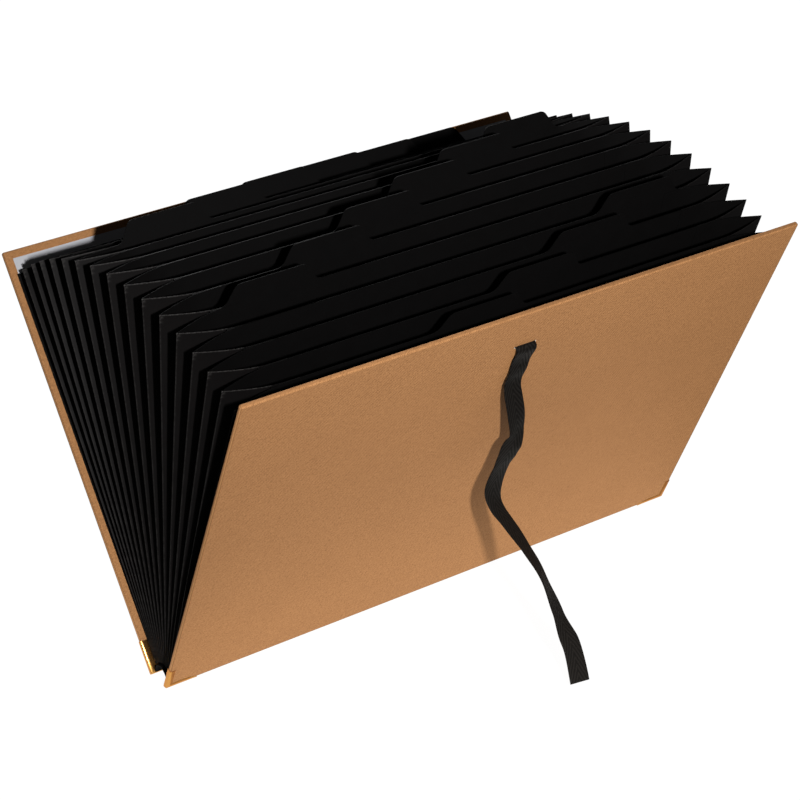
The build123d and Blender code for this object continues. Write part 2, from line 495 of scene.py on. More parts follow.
class Finish:
    """A material in the making."""

    def __init__(self, name):
        self.material = bpy.data.materials.new(name)
        self.material.use_nodes = True
        self.nodes = self.material.node_tree.nodes
        self.links = self.material.node_tree.links
        self.nodes.clear()

    def add(self, kind, settings=None, sockets=None, output=0):
        """Add a node: its settings first, then the values or links of its sockets."""
        node = self.nodes.new(kind)
        for name, value in (settings or {}).items():
            setattr(node, name, value)
        for name, value in (sockets or {}).items():
            if isinstance(value, Wire):
                self.links.new(value.socket, node.inputs[name])
            else:
                node.inputs[name].default_value = value
        return Wire(self, node.outputs[output]) if node.outputs else None

    def math(self, operation, *values):
        """Math node on numbers and sockets."""
        return self.add("ShaderNodeMath", {"operation": operation}, dict(enumerate(values)))

    def parts(self, vector):
        """X, Y and Z of a vector."""
        return [self.add("ShaderNodeSeparateXYZ", None, {0: vector}, output=i) for i in range(3)]

    def vector(self, x, y, z):
        """Vector from three numbers."""
        return self.add("ShaderNodeCombineXYZ", None, {0: x, 1: y, 2: z})

    def noise(self, place, scale, detail=2.0, roughness=0.5):
        """Noise from 0 to 1."""
        sockets = {"Vector": place, "Scale": scale, "Detail": detail, "Roughness": roughness}
        return self.add("ShaderNodeTexNoise", None, sockets)

    def step(self, value, low, high):
        """Smooth step from 0 at low to 1 at high."""
        sockets = {"Value": value, "From Min": low, "From Max": high}
        return self.add("ShaderNodeMapRange", {"interpolation_type": "SMOOTHSTEP"}, sockets)

    def mix(self, share, first, second):
        """Colour between two colours."""
        first, second = [c if isinstance(c, Wire) else (*c, 1) for c in (first, second)]
        sockets = {0: share, 6: first, 7: second}
        return self.add("ShaderNodeMix", {"data_type": "RGBA"}, sockets, output=2)

    def bump(self, height, depth, strength=1.0):
        """Normal from a height between 0 and 1, which stands for depth in metres."""
        sockets = {"Strength": strength, "Distance": depth, "Height": height}
        return self.add("ShaderNodeBump", None, sockets)

    def object_place(self):
        """Place on the object."""
        return self.add("ShaderNodeTexCoord", output="Object")

    def uv_place(self):
        """Place on the piece's own sheet, in metres."""
        return self.add("ShaderNodeTexCoord", output="UV")

    def shader(self, **sockets):
        """Principled shader. A socket's name is written with _ for a space."""
        named = {name.replace("_", " "): value for name, value in sockets.items()}
        return self.add("ShaderNodeBsdfPrincipled", None, named)

    def close(self, shader):
        """Material with this shader on its surface."""
        self.add("ShaderNodeOutputMaterial", None, {"Surface": shader})
        return self.material

    def surface(self, **sockets):
        """Close the material with one Principled shader."""
        return self.close(self.shader(**sockets))


def cover_cloth_finish(settings):
    """Tan bookcloth: fine diagonal weave with uneven threads, with painted light on the side faces and painted
    shade on the edge rounding and the top faces.
    """
    finish = Finish("tan_bookcloth")
    across, up, _ = finish.parts(finish.uv_place())
    # Threads: swaying diagonal ribs, slubs along them, and the warp and the weft
    sway = finish.noise(finish.uv_place(), 260, 3)
    ribs = ((across + up) * (2 * pi / settings.weave) + sway * 6).math("SINE") * 0.5 + 0.5
    slub = finish.noise(finish.vector((across + up) * 1500, (across - up) * 480, 0), 1, 2, 0.5)
    warp = finish.noise(finish.vector(across * 1700, up * 560, 0), 1, 2)
    weft = finish.noise(finish.vector(across * 560, up * 1700, 0.5), 1, 2)
    cloud = finish.noise(finish.uv_place(), 28, 4, 0.6)
    thread = ribs * 0.30 + slub * 0.56 + (warp + weft) * 0.34
    low_thread = tuple(c * 0.62 for c in settings.colour)
    colour = finish.mix(finish.step(thread, 0.46, 0.96), low_thread, settings.worn_colour)
    colour = finish.mix(finish.step(cloud, 0.35, 0.75) * 0.08, colour, low_thread)
    # Edges: painted light on the side faces; painted shade on the edge rounding beside them and on the top faces
    along, back, _ = finish.parts(finish.object_place())
    face_along, face_back, face_up = finish.parts(finish.add("ShaderNodeTexCoord", output="Normal"))
    sideways = abs(face_along)
    # Painted light: the side faces take a paler colour
    colour = finish.mix(finish.step(sideways, 0.8, 0.95) * 0.85, colour, settings.side_light_colour)
    # Painted shade: a dark line on the rounding between the side and outer faces
    edge_round_shade = finish.step(sideways, 0.25, 0.45) * (1 - finish.step(sideways, 0.7, 0.85))
    # Painted shade on the top faces: towards the right end of the front cover and along the back cover, and a
    # little on the flat middle of the top so its rounded edges stand out as light lines
    top = abs(face_back) * sin(TILT) + face_up * cos(TILT)
    top_face_shade = (finish.step(along, -0.1, 0.06) * 0.35).math("MAXIMUM", finish.step(back, 0, 0.05) * 0.6)
    outside = finish.step(face_back * back, 0, 0.03)
    shade = finish.step(face_up, 0.15, 0.45) * outside * top_face_shade + finish.step(top, 0.95, 0.99) * 0.1
    # Colour that the painted shade darkens towards
    painted_shade_colour = tuple(c * 0.3 for c in settings.colour)
    colour = finish.mix(edge_round_shade * (0.1 + slub * 0.45) + shade, colour, painted_shade_colour)
    return finish.surface(
        Base_Color=colour,
        Roughness=0.80 - thread * 0.08,
        Normal=finish.bump(thread, 0.00014, 0.6),
        Specular_IOR_Level=0.08,
    )


def paper_grain(finish, place):
    """Fibres of paper or card, from 0 to 1."""
    return finish.noise(place, 900, 4, 0.65) * 0.6 + finish.noise(place, 130, 3) * 0.4


def endpaper_finish():
    """Pale grey lining paper."""
    finish = Finish("lining_paper")
    place = finish.object_place()
    grain = paper_grain(finish, place)
    colour = finish.mix(grain, (0.40, 0.40, 0.425), (0.46, 0.46, 0.48))
    return finish.surface(
        Base_Color=colour,
        Roughness=0.72 + grain * 0.12,
        Normal=finish.bump(grain, 0.00006, 0.4),
        Specular_IOR_Level=0.3,
    )


def board_finish():
    """Raw pressed board, pale and flecked."""
    finish = Finish("raw_board")
    place = finish.object_place()
    grain = paper_grain(finish, place)
    fleck = finish.step(finish.noise(place, 2600, 2), 0.58, 0.68)
    colour = finish.mix(grain, (0.50, 0.47, 0.40), (0.66, 0.63, 0.56))
    colour = finish.mix(fleck * 0.5, colour, (0.30, 0.26, 0.20))
    return finish.surface(Base_Color=colour, Roughness=0.9, Normal=finish.bump(grain, 0.0001, 0.5))


def cut_edge(finish, place):
    """1 on the cut edges of a sheet and 0 on its faces, from the way the surface looks."""
    _, back, height = finish.parts(place)
    rise = height - AXIS.z
    reach = (back * back + rise * rise).math("SQRT")
    _, face_back, face_up = finish.parts(finish.add("ShaderNodeTexCoord", output="Normal"))
    return 1 - finish.step(abs(face_back * rise - face_up * back) / reach, 0.4, 0.8)


def sheet_finish(settings):
    """Black card of the dividers, with painted shade darkening the cut edges, less where worn, and a paler colour
    painted on the rear faces as light.
    """
    finish = Finish("black_card")
    place = finish.object_place()
    grain = paper_grain(finish, place)
    worn = finish.step(finish.noise(place, 60, 4, 0.7), 0.25, 0.75)
    dark, pale = [tuple(c * share for c in settings.colour) for share in (0.75, 1.25)]
    colour = finish.mix(grain, dark, pale)
    _, face_back, _ = finish.parts(finish.add("ShaderNodeTexCoord", output="Normal"))
    # Painted light: the rear faces take a paler colour
    rear = finish.step(face_back, 0.3, 0.6) * (0.7 + grain * 0.3)
    colour = finish.mix(rear, colour, settings.rear_lit_colour)
    # Painted shade: the cut edges are darkened towards black, less where the card is worn
    colour = finish.mix(cut_edge(finish, place) * (0.6 - worn * 0.3), colour, (0, 0, 0))
    return finish.surface(
        Base_Color=colour,
        Roughness=0.50 + grain * 0.14,
        Normal=finish.bump(grain, 0.00004, 0.35),
        Specular_IOR_Level=0.04,
    )


def wall_finish(settings):
    """Black card of the side walls, with painted highlights along the folds and top edges and worn chips at the
    fold tips.
    """
    finish = Finish("black_wall_card")
    across, reach, _ = finish.parts(finish.uv_place())
    place = finish.uv_place()
    along, back, _ = finish.parts(finish.object_place())
    grain = paper_grain(finish, place)
    chips = finish.step(finish.noise(place, 700, 3, 0.7), 0.42, 0.62)
    # Painted highlights on the fold and the top edge, and worn chips at the tip between them; all are stronger on
    # the left side, where the light falls
    fold = finish.step(across, FOLD_X - 0.8 * MM, FOLD_X - 0.3 * MM)
    top = finish.step(reach, SHEET_HIGH - 0.7 * MM, SHEET_HIGH - 0.3 * MM)
    near_fold = finish.step(across, FOLD_X - 2.2 * MM, FOLD_X)
    tip = near_fold * finish.step(reach, SHEET_HIGH - 6 * MM, SHEET_HIGH)
    # Painted light: highlights and chips are stronger on the left side, where the light falls
    position_ramp = 1 - finish.step(along, -0.1, 0.1) * 0.8
    free = finish.step(across, SHEET_HALF_WIDTH - 2 * MM, SHEET_HALF_WIDTH + 1 * MM)
    # Painted highlight along the top edge of the wall beyond its sheet
    line = top * free * position_ramp * (0.10 + chips * 0.30)
    highlight_and_wear = fold * (0.04 + chips * 0.12) + line + tip * chips * position_ramp * 0.6
    # Painted light: the walls take a paler copy of the card, growing paler still towards the back of the fan
    dark, pale = [tuple(c * share for c in settings.wall_lit_colour) for share in (0.55, 1.45)]
    colour = finish.mix(grain * 0.75 + finish.step(back, -0.02, 0.1) * 0.45, dark, pale)
    colour = finish.mix(highlight_and_wear.math("MINIMUM", 1.0), colour, settings.highlight_and_wear_colour)
    return finish.surface(
        Base_Color=colour,
        Roughness=0.50 + grain * 0.14,
        Normal=finish.bump(grain, 0.00004, 0.35),
        Specular_IOR_Level=0.05,
    )


def brass_finish(settings):
    """Polished brass, plain and bright along the cover's rim and a little rougher there, with painted dark
    reflections on the lips.
    """
    finish = Finish("brass_lip_reflections")
    place = finish.object_place()
    inset, out, _ = finish.parts(finish.uv_place())
    dull = finish.step(finish.noise(place, 240, 4, 0.6), 0.4, 0.75)
    along, _, height = finish.parts(place)
    marks = finish.noise(finish.vector(inset * 2200, out * 2200, (along + height) * 60), 1, 2)
    # Painted dark reflection on the lips: it begins away from the rim, sooner up the side arms, and is darkest on
    # the inner face
    dark_reflection = finish.step(inset + height * 0.085, 1.4 * MM, 2.3 * MM) * (0.8 + dull * 0.2)
    inner = (1 - finish.step(out, 0, 0.6 * MM)) * 0.75
    rim = 1 - finish.step(inset, -0.1 * MM, 0.5 * MM)
    inner_dark_reflection = tuple(c * 0.3 for c in settings.lip_reflection_colour)
    lip_colour = finish.mix(inner, settings.lip_reflection_colour, inner_dark_reflection)
    return finish.surface(
        Base_Color=finish.mix(dark_reflection, settings.colour, lip_colour),
        Metallic=1.0,
        Roughness=0.24 + rim * 0.12 + dull * 0.04 + marks * 0.03,
        Specular_Tint=(0.86, 0.61, 0.55, 1),
        Normal=finish.bump(marks, 0.000003, 0.15),
    )


def ribbon_finish(settings):
    """Black herringbone twill, greyer and smoother towards its free end."""
    finish = Finish("ribbon_twill")
    across, along, _ = finish.parts(finish.uv_place())
    sway = finish.noise(finish.uv_place(), 500, 2)
    climb = along - abs(across) * 2.2
    ribs = (climb * (2 * pi / settings.twill) + sway * 2.4).math("SINE") * 0.5 + 0.5
    yarn = finish.noise(finish.vector(across * 6000, along * 900, 0), 1, 3)
    position_ramp = finish.step(along, 0.02, 0.16)
    height = ribs * (0.65 - position_ramp * 0.25) + yarn * (0.35 + position_ramp * 0.25)
    dark, pale = [tuple(c * share for c in settings.colour) for share in (0.2, 1.9)]
    return finish.surface(
        Base_Color=finish.mix(height * (0.6 + position_ramp * 0.45), dark, pale),
        Roughness=0.62 - ribs * 0.12,
        Normal=finish.bump(height, 0.0003, 0.8),
        Specular_IOR_Level=0.04,
    )


def spine_finish(settings):
    """Black strip of cloth along the bottom, with a fine plain weave."""
    finish = Finish("black_spine_cloth")
    place = finish.object_place()
    along, _, _ = finish.parts(place)
    grain = paper_grain(finish, place)
    weave = (along * (2 * pi / 0.0008)).math("SINE") * 0.5 + 0.5
    height = weave * 0.4 + grain * 0.6
    dark, pale = [tuple(c * share for c in settings.colour) for share in (0.7, 1.4)]
    return finish.surface(
        Base_Color=finish.mix(height, dark, pale),
        Roughness=0.7 + grain * 0.1,
        Normal=finish.bump(height, 0.0001, 0.5),
        Specular_IOR_Level=0.05,
    )


def floor_finish(settings):
    """Pale table top: evenly pale to look at, and brightest as a light just under the covers."""
    finish = Finish("pale_floor")
    along, back, _ = finish.parts(finish.object_place())
    far_along = finish.step(abs(along + GLOW_SHIFT), *GLOW_ALONG)
    far_back = finish.step(abs(back), *GLOW_BACK)
    near = (1 - far_along) * (1 - far_back)
    bounce = finish.mix(near, (0.08, 0.08, 0.08), (1, 0.98, 0.94))
    thrown = finish.shader(
        Base_Color=(0, 0, 0, 1),
        Specular_IOR_Level=0.0,
        Emission_Color=bounce,
        Emission_Strength=settings.floor_bounce,
    )
    seen = finish.shader(
        Base_Color=(*settings.floor_colour, 1),
        Roughness=0.9,
        Specular_IOR_Level=0.0,
        Emission_Color=(1, 1, 1, 1),
        Emission_Strength=0.985,
    )
    looked_at = finish.add("ShaderNodeLightPath", output="Is Camera Ray")
    return finish.close(finish.add("ShaderNodeMixShader", None, {0: looked_at, 1: thrown, 2: seen}))


def finish_of(name, maker, *settings):
    """A finish that several operators share, made once."""
    return bpy.data.materials.get(name) or maker(*settings)


def add_piece(name, points, faces, material, uvs=None, sharp=35):
    """Mesh object from points and faces, with smooth shading between its sharp edges."""
    mesh = bpy.data.meshes.new(name)
    mesh.from_pydata(points, [], faces)
    if uvs:
        layer = mesh.uv_layers.new(name="sheet")
        for loop in mesh.loops:
            layer.data[loop.index].uv = uvs[loop.vertex_index]
    form = bmesh.new()
    form.from_mesh(mesh)
    bmesh.ops.remove_doubles(form, verts=form.verts, dist=WELD)
    bmesh.ops.dissolve_degenerate(form, edges=form.edges, dist=WELD)
    bmesh.ops.recalc_face_normals(form, faces=form.faces)
    form.to_mesh(mesh)
    form.free()
    mesh.polygons.foreach_set("use_smooth", [True] * len(mesh.polygons))
    mesh.set_sharp_from_angle(angle=radians(sharp))
    mesh.materials.append(material)
    piece = bpy.data.objects.new(name, mesh)
    bpy.context.scene.collection.objects.link(piece)
    return piece


def dress(node, material):
    """Give a CAD node that stays in view its finish."""
    slots = frame["nodes"][node].data.materials
    slots.clear()
    slots.append(material)


def ease(share):
    """Share from 0 to 1 that starts and ends softly."""
    return share * share * (3 - 2 * share)


def ring_faces(rings, count, closed=True):
    """Quads between rings of points that follow each other in one list."""
    faces = []
    steps = count if closed else count - 1
    for ring in range(rings - 1):
        for i in range(steps):
            j = (i + 1) % count
            low, high = ring * count, (ring + 1) * count
            faces.append((low + i, low + j, high + j, high + i))
    return faces


def rounded_outline(low, high, radius, steps=6):
    """Points round a rectangle with rounded corners."""
    radius = max(radius, 0.02 * MM)
    centres = [
        (high[0] - radius, high[1] - radius),
        (low[0] + radius, high[1] - radius),
        (low[0] + radius, low[1] + radius),
        (high[0] - radius, low[1] + radius),
    ]
    points = []
    for quarter, (x, y) in enumerate(centres):
        for step in range(steps + 1):
            angle = (quarter + step / steps) * pi / 2
            points.append((x + radius * cos(angle), y + radius * sin(angle)))
    return points


class FOLDER_OT_stage(bpy.types.Operator):
    """Add the floor, the lights and the camera at the photo's angle"""

    bl_idname = "folder.stage"
    bl_label = "Stage"

    FLOOR_REACH = 12.0
    AIM = Vector((0, 0, 0.12))
    KEY_AIM = Vector((1.5, 0, 0.12))
    KEY_DISTANCE = 1.1
    KEY_SIZE = 0.06
    FILL_PLACE = Vector((0.5, 1.7, 1.3))
    FILL_SIZE = 1.4

    def execute(self, context):
        settings = context.scene.folder_stage
        reach = self.FLOOR_REACH
        corners = [(-reach, -reach, 0), (reach, -reach, 0), (reach, reach, 0), (-reach, reach, 0)]
        add_piece("floor", corners, [(0, 1, 2, 3)], floor_finish(settings))
        self.add_lights(context, settings)
        self.light_room(context, settings)
        self.add_camera(context)
        context.scene.view_settings.view_transform = "Standard"
        context.scene.view_settings.look = "None"
        return {"FINISHED"}

    def add_lamp(self, context, name, place, aim, size, power):
        """Round lamp that shines at the folder and isn't seen itself."""
        lamp = bpy.data.lights.new(name, "AREA")
        lamp.shape = "DISK"
        lamp.size = size
        lamp.energy = power
        holder = bpy.data.objects.new(name, lamp)
        holder.location = place
        holder.rotation_euler = (place - aim).to_track_quat("Z", "Y").to_euler()
        holder.visible_camera = False
        context.scene.collection.objects.link(holder)

    def add_lights(self, context, settings):
        """Small key lamp in front and a little to the left, and a wide soft one behind."""
        turn, rise = settings.key_turn, settings.key_rise
        towards = Vector((sin(turn) * cos(rise), -cos(turn) * cos(rise), sin(rise)))
        key_place = self.AIM + towards * self.KEY_DISTANCE
        self.add_lamp(context, "key", key_place, self.KEY_AIM, self.KEY_SIZE, settings.key_power)
        self.add_lamp(context, "fill", self.FILL_PLACE, self.AIM, self.FILL_SIZE, settings.fill_power)

    def light_room(self, context, settings):
        """Dim room that still looks pale behind the floor."""
        world = bpy.data.worlds.new("room")
        world.use_nodes = True
        nodes, links = world.node_tree.nodes, world.node_tree.links
        nodes.clear()
        dim = nodes.new("ShaderNodeBackground")
        grey = settings.room_light
        dim.inputs["Color"].default_value = (grey, grey, grey, 1)
        pale = nodes.new("ShaderNodeBackground")
        pale.inputs["Color"].default_value = (1, 1, 1, 1)
        seen = nodes.new("ShaderNodeLightPath")
        choose = nodes.new("ShaderNodeMixShader")
        links.new(seen.outputs["Is Camera Ray"], choose.inputs[0])
        links.new(dim.outputs[0], choose.inputs[1])
        links.new(pale.outputs[0], choose.inputs[2])
        links.new(choose.outputs[0], nodes.new("ShaderNodeOutputWorld").inputs["Surface"])
        context.scene.world = world

    def add_camera(self, context):
        """Camera where the fit puts the photo's."""
        lens = bpy.data.cameras.new("photo_camera")
        lens.sensor_width = CAMERA_SENSOR
        lens.lens = CAMERA_LENS
        lens.clip_end = 100
        camera = bpy.data.objects.new("photo_camera", lens)
        camera.location = CAMERA_PLACE
        camera.rotation_euler = [radians(turn) for turn in CAMERA_TURN]
        context.scene.collection.objects.link(camera)
        context.scene.camera = camera


class FOLDER_OT_tie_ribbon(bpy.types.Operator):
    """Make the ribbon tie along a smooth line from its slot"""

    bl_idname = "folder.tie_ribbon"
    bl_label = "Tie ribbon"

    # Woven edge: its width, its rounding, and the shares of the thickness in the middle and at the edge
    WOVEN_EDGE = 0.5 * MM
    EDGE_ROUND = 0.1 * MM
    MIDDLE_SHARE = 0.8
    EDGE_SHARE = 0.6

    def execute(self, context):
        settings = context.scene.folder_ribbon
        route = self.route()
        line = self.smooth_line(route)
        lengths = [0.0]
        for before, here in zip(line, line[1:]):
            lengths.append(lengths[-1] + (here - before).length)
        total = lengths[-1]
        points, uvs = [], []
        section = self.section(settings)
        for i, place in enumerate(line):
            along = (line[min(i + 1, len(line) - 1)] - line[max(i - 1, 0)]).normalized()
            side = (Vector((1, 0, 0)) - along * along.x).normalized()
            side = Matrix.Rotation(self.twist(lengths[i] / total), 3, along) @ side
            face = along.cross(side)
            for across, proud in section:
                points.append(place + side * across + face * proud)
                uvs.append((across, lengths[i]))
        count = len(section)
        faces = ring_faces(len(line), count)
        faces += [tuple(range(count))[::-1], tuple(range(len(points) - count, len(points)))]
        material = finish_of("ribbon_twill", ribbon_finish, settings)
        ribbon = add_piece("ribbon", points, faces, material, uvs, sharp=70)
        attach(ribbon, FRONT.body)
        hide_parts("tie_ribbon")
        dress("ribbon_anchor", material)
        return {"FINISHED"}

    def route(self):
        """Route of the ribbon in the row frame."""
        start = FRONT.place(0, FRONT.height - RIBBON_SLOT_DROP * MM, FRONT.thickness)
        route = [start, start + FRONT.out * RIBBON_EXIT_RUN * MM]
        return route + [start + Vector(offset) * MM for offset in RIBBON_ROUTE]

    def smooth_line(self, route):
        """Points along the smooth curve that the route steers."""
        curve = bpy.data.curves.new("ribbon_route", "CURVE")
        curve.dimensions = "3D"
        spline = curve.splines.new("NURBS")
        spline.points.add(len(route) - 1)
        for point, place in zip(spline.points, route):
            point.co = (*place, 1)
        spline.order_u = 3
        spline.use_endpoint_u = True
        spline.resolution_u = 8
        holder = bpy.data.objects.new("ribbon_route", curve)
        mesh = bpy.data.meshes.new_from_object(holder)
        line = [vertex.co.copy() for vertex in mesh.vertices]
        bpy.data.objects.remove(holder)
        bpy.data.curves.remove(curve)
        bpy.data.meshes.remove(mesh)
        return line

    def section(self, settings):
        """Ribbon cut across: flat, with a woven edge at each side, listed round the section."""
        half, thick = settings.width / 2, settings.thickness / 2
        edge, low = half - self.WOVEN_EDGE, thick * self.MIDDLE_SHARE
        top = [(-edge, thick), (-half / 2, low), (0, low), (half / 2, low)]
        top += [(edge, thick), (half - self.EDGE_ROUND, thick * self.EDGE_SHARE)]
        bottom = [(-across, -proud) for across, proud in top]
        return top + [(half, 0)] + bottom + [(-half, 0)]

    def twist(self, share):
        """Turn of the ribbon about its line at a share of its length."""
        for (start, turn), (end, next_turn) in zip(RIBBON_TWIST, RIBBON_TWIST[1:]):
            if share <= end:
                part = (share - start) / (end - start)
                return radians(turn + (next_turn - turn) * ease(part))
        return radians(RIBBON_TWIST[-1][1])


class FOLDER_OT_cover_cloth(bpy.types.Operator):
    """Wrap the boards of both covers in bookcloth, turned in over the inner border"""

    bl_idname = "folder.cover_cloth"
    bl_label = "Cover cloth"

    CORNER_RADIUS = 1.0 * MM
    CLOTH = 0.3 * MM
    FLAT_MARGIN = 0.35 * MM
    SLOT_WIDTH = 13.4 * MM
    SLOT_HEIGHT = 1.6 * MM
    SLOT_ROUND = 0.3 * MM
    # Slot's mouth from the outer face inwards, as (growth, depth) in mm
    SLOT_STEPS = [(0.5, 0), (0.25, 0), (0, 0.08), (0, 0.3)]

    def execute(self, context):
        settings = context.scene.folder_cloth
        material = finish_of("tan_bookcloth", cover_cloth_finish, settings)
        for cover in COVERS:
            cloth = self.wrap(cover, settings, material)
            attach(cloth, cover.body)
            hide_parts(f"{cover.name}_wrap")
        return {"FINISHED"}

    def rings(self, cover, settings):
        """Cloth's section from the turn-in's edge round to the outer face, as (inset, out) pairs."""
        r = settings.edge_round
        deep = cover.thickness
        round_steps = [radians(angle) for angle in (0, 22.5, 45, 67.5, 90)]
        flat = r + self.FLAT_MARGIN
        turned = settings.turn_in
        rings = [(turned, self.CLOTH), (turned, 0.06 * MM), (turned - 0.1 * MM, 0)]
        rings += [(turned - self.FLAT_MARGIN, 0), (flat, 0)]
        rings += [(r - r * sin(angle), r - r * cos(angle)) for angle in round_steps]
        rings += [(r - r * cos(angle), deep - r + r * sin(angle)) for angle in round_steps]
        return rings + [(flat, deep)]

    def wrap(self, cover, settings, material):
        """One cover's cloth as a closed skin with the ribbon's slot in it."""
        form = bmesh.new()
        layer = form.verts.layers.float_vector.new("sheet")
        loops = []
        for inset, out in self.rings(cover, settings):
            low = (-cover.half_width + inset, inset)
            high = (cover.half_width - inset, cover.height - inset)
            outline = rounded_outline(low, high, self.CORNER_RADIUS - inset)
            loops.append([self.vertex(form, layer, cover, x, up, out) for x, up in outline])
        middle = cover.height - RIBBON_SLOT_DROP * MM
        slots = []
        for grow, depth in self.SLOT_STEPS:
            wide = self.SLOT_WIDTH / 2 + grow * MM
            tall = self.SLOT_HEIGHT / 2 + grow * MM
            outline = rounded_outline((-wide, middle - tall), (wide, middle + tall), self.SLOT_ROUND, 3)
            out = cover.thickness - depth * MM
            slots.append([self.vertex(form, layer, cover, x, up, out) for x, up in outline])
        for stack in (loops, slots):
            for lower, upper in zip(stack, stack[1:]):
                for i in range(len(lower)):
                    j = (i + 1) % len(lower)
                    form.faces.new((lower[i], lower[j], upper[j], upper[i]))
        rims = []
        for loop in (loops[-1], slots[0]):
            for i in range(len(loop)):
                pair = (loop[i], loop[(i + 1) % len(loop)])
                rims.append(form.edges.get(pair) or form.edges.new(pair))
        bmesh.ops.triangle_fill(form, use_beauty=True, edges=rims, normal=cover.out)
        form.verts.index_update()
        points = [vertex.co.copy() for vertex in form.verts]
        uvs = [vertex[layer][:2] for vertex in form.verts]
        faces = [[vertex.index for vertex in face.verts] for face in form.faces]
        form.free()
        return add_piece(f"{cover.name}_cloth", points, faces, material, uvs, sharp=40)

    def vertex(self, form, layer, cover, x, up, out):
        """Point of the cloth with its place on the flat cloth."""
        vertex = form.verts.new(cover.place(x, up, out))
        vertex[layer] = (x + out, up + out, 0)
        return vertex


class FOLDER_OT_brass_corners(bpy.types.Operator):
    """Fold the four brass corners round the covers' bottom corners"""

    bl_idname = "folder.brass_corners"
    bl_label = "Brass corners"

    PROUD = 0.25 * MM
    CRIMP = 0.25 * MM
    TUCK = 0.2 * MM
    TUCK_MARGIN = 0.3 * MM
    BEND = 0.32 * MM
    SIDE_ARMS = {"front": 15.5 * MM, "back": 18.0 * MM}
    POINT = 0.7 * MM
    FLAT_FEET = {"front": 1.0, "back": 0.0}
    FOOT_TOP = 0.3 * MM
    FOOT_FADE = 0.5 * MM

    def execute(self, context):
        settings = context.scene.folder_brass
        material = finish_of("brass_lip_reflections", brass_finish, settings)
        for cover in COVERS:
            for side, hand in ((-1, "left"), (1, "right")):
                corner = self.corner(cover, side, hand, settings, material)
                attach(corner, cover.body)
        return {"FINISHED"}

    def section(self, cover, lip, inner_lip):
        """Channel cut across, as (inset, out) pairs listed round it from the outer face's lip."""
        deep = cover.thickness
        near = [(inset, deep + out) for inset, out in self.face(lip)]
        far = [(inset, -out) for inset, out in reversed(self.face(inner_lip))]
        crimp, tuck, margin = self.CRIMP, self.TUCK, self.TUCK_MARGIN
        inside = [(inner_lip - margin, tuck), (crimp, crimp)]
        inside += [(crimp, deep - crimp), (lip - margin, deep - tuck)]
        return near + far + inside

    def face(self, lip):
        """One face of the channel from the lip's edge to the rim, as (inset, proud) pairs."""
        proud = self.PROUD
        return [
            (lip, -0.02 * MM),
            (lip * 0.96, 0.14 * MM),
            (lip * 0.88, 0.23 * MM),
            (lip * 0.66, 0.27 * MM),
            (lip * 0.36, 0.27 * MM),
            (lip * 0.18, 0.25 * MM),
            (lip * 0.06, 0.17 * MM),
            (-proud + 0.12 * MM, 0.02 * MM),
            (-proud + 0.03 * MM, -0.2 * MM),
            (-proud, -0.5 * MM),
        ]

    def corner(self, cover, side, hand, settings, material):
        """One corner, swept along its side arm, round the bend and along its bottom arm."""
        edge = cover.half_width
        stations = self.stations(settings, self.SIDE_ARMS[cover.name])
        points, uvs = [], []
        for place, share in stations:
            widths = (settings.lip, settings.inner_lip)
            lips = [self.POINT + (width - self.POINT) * share for width in widths]
            for inset, out in self.section(cover, *lips):
                from_side, from_bottom = self.inset(place, inset)
                from_bottom -= self.foot(cover, from_bottom, out)
                points.append(cover.place(side * (edge - from_side), from_bottom, out))
                uvs.append((inset, out))
        count = len(points) // len(stations)
        faces = ring_faces(len(stations), count)
        faces += [tuple(range(count))[::-1], tuple(range(len(points) - count, len(points)))]
        node = f"{cover.name}_{hand}_corner"
        piece = add_piece(f"{cover.name}_{hand}_brass", points, faces, material, uvs, sharp=50)
        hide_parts(node)
        return piece

    def foot(self, cover, from_bottom, out):
        """How much lower the rim reaches at the inner face, where the corner is worn flat."""
        rim = min(1.0, max(0.0, (self.FOOT_TOP - from_bottom) / self.FOOT_FADE))
        return self.FLAT_FEET[cover.name] * rim * max(0.0, cover.thickness - out) * tan(TILT)

    def stations(self, settings, side_arm):
        """Places along the corner and the lips' share there: square at the side, pointed below."""
        side = [(("side", run), 1.0) for run in (side_arm, side_arm / 2)]
        turn = [(("turn", step / 8), 1.0) for step in range(9)]
        bottom = []
        for left in (1.0, 0.75, 0.5, 0.25, 0.0):
            bottom.append((("bottom", settings.arm - left * settings.end_taper), 1 - (1 - left) ** 2))
        return side + turn + bottom

    def inset(self, place, inset):
        """Distances from the side and bottom edges of a point drawn in from the cover's rim."""
        kind, amount = place
        if kind == "side":
            return inset, max(amount, inset)
        if kind == "bottom":
            return max(amount, inset), inset
        radius = self.BEND - self.PROUD
        if inset >= radius:
            return inset, inset
        angle = amount * pi / 2
        return radius - (radius - inset) * cos(angle), radius - (radius - inset) * sin(angle)


class FOLDER_OT_linings(bpy.types.Operator):
    """Finish the boards and their paper linings"""

    bl_idname = "folder.linings"
    bl_label = "Boards and linings"

    def execute(self, context):
        board = finish_of("raw_board", board_finish)
        paper = finish_of("lining_paper", endpaper_finish)
        for cover in COVERS:
            dress(f"{cover.name}_board", board)
            dress(f"{cover.name}_endpaper", paper)
        return {"FINISHED"}


